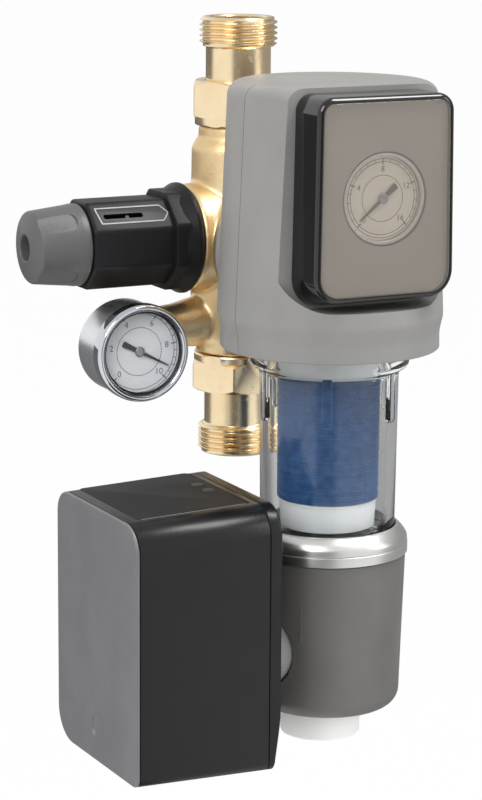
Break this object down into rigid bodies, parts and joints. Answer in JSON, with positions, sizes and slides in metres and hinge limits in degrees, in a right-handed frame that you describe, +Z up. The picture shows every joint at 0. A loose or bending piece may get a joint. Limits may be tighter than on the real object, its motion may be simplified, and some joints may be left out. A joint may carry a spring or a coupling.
{
  "type": "automatic disc filter",
  "caption": "Disc filter for a vertical water pipe: brass body with pressure regulator and gauge, round head with display gauge, clear bowl, and a battery box that turns the flush valve.",
  "frame": {"origin": "middle of the vertical pipe axis, half way between the two threaded ends", "axes": "+Z up along the pipe towards the inlet end, -Y towards the front of the filter head (the viewer), +X away from the regulator knob"},
  "size_m": [0.1504, 0.1535, 0.2905],
  "materials": {
    "brass": "cast and machined brass, satin",
    "seal_rubber": "black EPDM, matt",
    "steel": "plain stainless steel",
    "bonnet_plastic": "dark grey glass-filled plastic, fine grain",
    "window_plastic": "black insert with sight slot",
    "knob_plastic": "mid grey plastic, fine grain",
    "head_plastic": "warm grey painted plastic, semi matt",
    "core_plastic": "dark grey glass-filled plastic",
    "frame_gloss": "piano black, high gloss",
    "smoked_panel": "smoked clear panel, gloss",
    "chrome": "bright chrome",
    "gauge_lens": "flat clear window",
    "dial_white": "white printed dial",
    "dial_beige": "pale printed dial",
    "needle_black": "black needle",
    "clear_bowl": "clear moulded plastic, gloss",
    "disc_blue": "blue grooved discs",
    "frosted_cap": "frosted white plastic",
    "spine_white": "white plastic",
    "satin_ring": "satin silver, one bright line",
    "drain_plastic": "warm grey plastic, semi matt",
    "spout_white": "off-white plastic",
    "collar_grey": "light grey plastic",
    "seat_ptfe": "white PTFE",
    "box_black": "black plastic, satin with fine grain",
    "board_green": "green circuit board",
    "gear_acetal": "natural acetal",
    "cell_wrap": "grey shrink wrap"
  },
  "bodies": {
    "base": {"connection_body": "brass", "core_nut": "steel", "display_frame": "frame_gloss", "display_panel": "smoked_panel", "filter_spine": "spine_white", "flange_gasket": "seal_rubber", "flange_screw_1": "steel", "flange_screw_2": "steel", "head_core": "core_plastic", "head_front_cover": "head_plastic", "head_rear_cover": "head_plastic", "inlet_gauge_case": "steel", "inlet_gauge_dial": "dial_beige", "inlet_gauge_stem": "brass", "lower_union_gasket": "seal_rubber", "lower_union_nut": "brass", "lower_union_tail": "brass", "outlet_gauge_bezel": "chrome", "outlet_gauge_case": "chrome", "outlet_gauge_dial": "dial_white", "outlet_gauge_lens": "gauge_lens", "outlet_gauge_stem": "brass", "regulator_bonnet": "bonnet_plastic", "regulator_spring": "steel", "regulator_window": "window_plastic", "stack_spring": "steel", "upper_union_gasket": "seal_rubber", "upper_union_nut": "brass", "upper_union_tail": "brass"},
    "knob": {"regulator_knob": "knob_plastic", "regulator_spindle": "steel"},
    "spring_plate": {"regulator_spring_plate": "brass"},
    "piston": {"regulator_piston": "seal_rubber", "regulator_poppet": "brass"},
    "outlet_needle": {"outlet_gauge_needle": "needle_black"},
    "inlet_needle": {"inlet_gauge_needle": "needle_black"},
    "discs": {"disc_stack": "disc_blue"},
    "pressing_cap": {"compression_cap": "frosted_cap"},
    "lower_unit": {"bowl": "clear_bowl", "bowl_seal": "seal_rubber", "bowl_ring": "satin_ring", "drain_housing": "drain_plastic", "flush_valve_body": "core_plastic", "flush_upper_seat": "seat_ptfe", "flush_lower_seat": "seat_ptfe", "coupling_collar": "collar_grey", "drain_spout": "spout_white", "actuator_body": "box_black", "actuator_back_cover": "box_black", "actuator_key_panel": "box_black", "actuator_board": "board_green", "actuator_motor": "steel", "battery_pack": "cell_wrap"},
    "flush_valve": {"flush_ball": "chrome", "flush_stem": "steel"},
    "drive_wheel": {"actuator_wheel": "gear_acetal"},
    "drive_pinion": {"actuator_pinion": "brass"},
    "battery_cover": {"actuator_battery_cover": "box_black"},
    "button_1": {"actuator_button_1": "knob_plastic"},
    "button_2": {"actuator_button_2": "knob_plastic"}
  },
  "joints": [
    {"name": "knob_turn", "type": "hinge", "parent": "base", "child": "knob", "pos_m": [-0.0749, 0, 0.001], "axis": [1, 0, 0], "range_deg": [-1080, 1080]},
    {"name": "spring_plate_travel", "type": "slide", "parent": "base", "child": "spring_plate", "axis": [1, 0, 0], "range_m": [-0.006, 0.006], "deforming": ["regulator_spring"]},
    {"name": "piston_travel", "type": "slide", "parent": "base", "child": "piston", "axis": [1, 0, 0], "range_m": [-0.0014, 0], "stiffness_N_per_m": 400, "springref_m": 0.004},
    {"name": "outlet_needle_turn", "type": "hinge", "parent": "base", "child": "outlet_needle", "pos_m": [-0.0622, -0.04, -0.0397], "axis": [0, 1, 0], "range_deg": [-252, 18]},
    {"name": "inlet_needle_turn", "type": "hinge", "parent": "base", "child": "inlet_needle", "pos_m": [0, -0.127, 0.032], "axis": [0, 1, 0], "range_deg": [-5, 265]},
    {"name": "disc_spin", "type": "hinge", "parent": "base", "child": "discs", "pos_m": [0, -0.084, -0.066], "axis": [0, 0, 1], "continuous": true},
    {"name": "cap_travel", "type": "slide", "parent": "base", "child": "pressing_cap", "axis": [0, 0, 1], "range_m": [-0.003, 0], "stiffness_N_per_m": 400, "springref_m": 0.004, "deforming": ["stack_spring"]},
    {"name": "bowl_turn", "type": "hinge", "parent": "base", "child": "lower_unit", "pos_m": [0, -0.084, -0.107], "axis": [0, 0, 1], "range_deg": [-45, 0]},
    {"name": "flush_ball_turn", "type": "hinge", "parent": "lower_unit", "child": "flush_valve", "pos_m": [-0.0022, -0.084, -0.156], "axis": [1, 0, 0], "range_deg": [0, 90]},
    {"name": "drive_wheel_turn", "type": "hinge", "parent": "lower_unit", "child": "drive_wheel", "pos_m": [-0.053, -0.084, -0.156], "axis": [1, 0, 0], "range_deg": [0, 90]},
    {"name": "drive_pinion_turn", "type": "hinge", "parent": "lower_unit", "child": "drive_pinion", "pos_m": [-0.053, -0.084, -0.13185], "axis": [1, 0, 0], "range_deg": [-270, 0]},
    {"name": "battery_cover_pull", "type": "slide", "parent": "lower_unit", "child": "battery_cover", "axis": [-1, 0, 0], "range_m": [0, 0.03]},
    {"name": "button_1_press", "type": "slide", "parent": "lower_unit", "child": "button_1", "axis": [0, 0, -1], "range_m": [0, 0.0006], "stiffness_N_per_m": 200, "springref_m": -0.001},
    {"name": "button_2_press", "type": "slide", "parent": "lower_unit", "child": "button_2", "axis": [0, 0, -1], "range_m": [0, 0.0006], "stiffness_N_per_m": 200, "springref_m": -0.001}
  ],
  "couplings": [
    {"joint": "spring_plate_travel", "follows": "knob_turn", "m_per_rad": 0.000318},
    {"joint": "flush_ball_turn", "follows": "drive_wheel_turn", "ratio": 1},
    {"joint": "drive_pinion_turn", "follows": "drive_wheel_turn", "ratio": -3}
  ]
}
